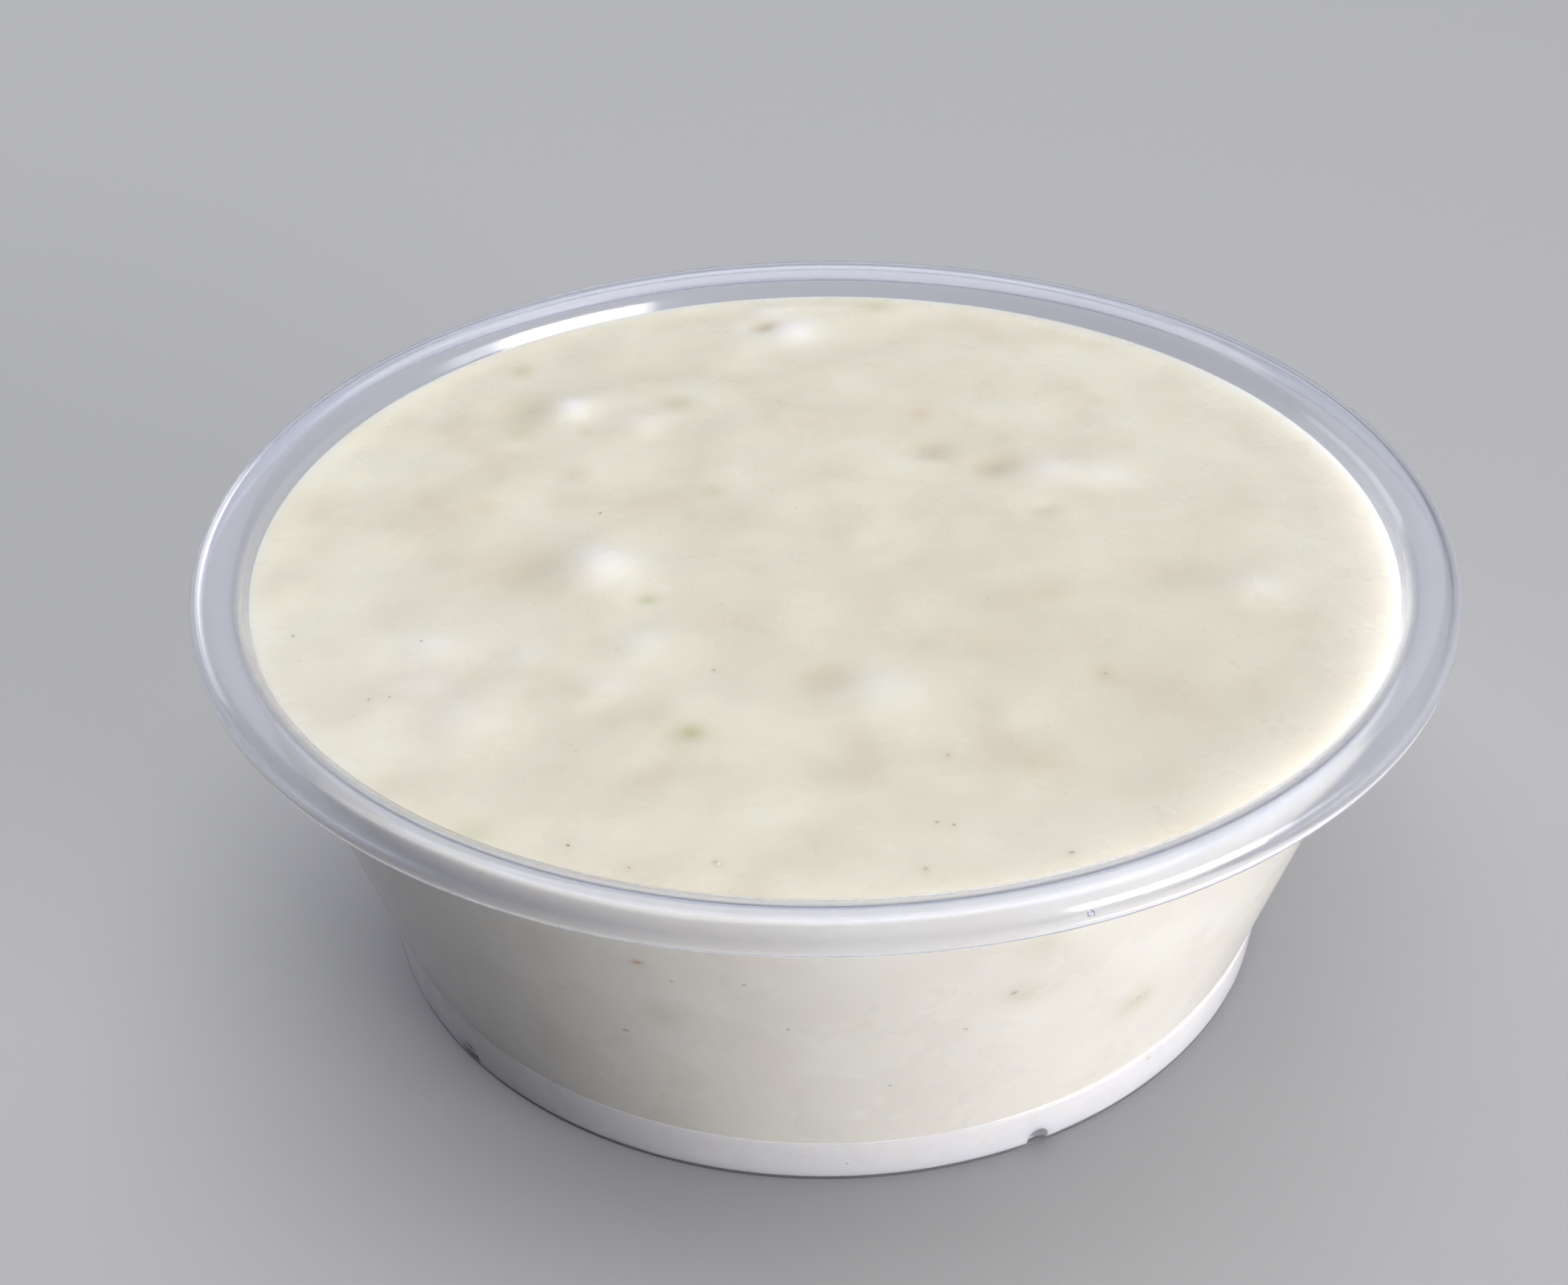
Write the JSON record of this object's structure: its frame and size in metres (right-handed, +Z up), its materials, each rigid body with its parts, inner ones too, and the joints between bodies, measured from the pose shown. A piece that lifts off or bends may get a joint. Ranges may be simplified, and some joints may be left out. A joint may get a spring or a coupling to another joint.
{
  "type": "cup of ceviche sauce",
  "caption": "Low clear plastic sauce cup with a rolled rim, tapered wall and foot band, filled almost to the rim with creamy off-white herb sauce.",
  "frame": {"origin": "on the surface it stands on, at the middle of the cup's foot", "axes": "+Z up along the cup's own axis; -Y faces the viewer of the picture, roughly; +X to the viewer's right"},
  "size_m": [0.062, 0.062, 0.0224],
  "materials": {
    "clear_plastic": "clear thin moulded plastic, glossy",
    "creamy_sauce": "smooth creamy sauce, soft wet gloss",
    "green_herb": "wet chopped herb",
    "dark_pepper": "ground pepper",
    "chilli": "tiny bits of chilli"
  },
  "bodies": {
    "root": {"cup": "clear_plastic", "sauce": "creamy_sauce"}
  },
  "joints": []
}
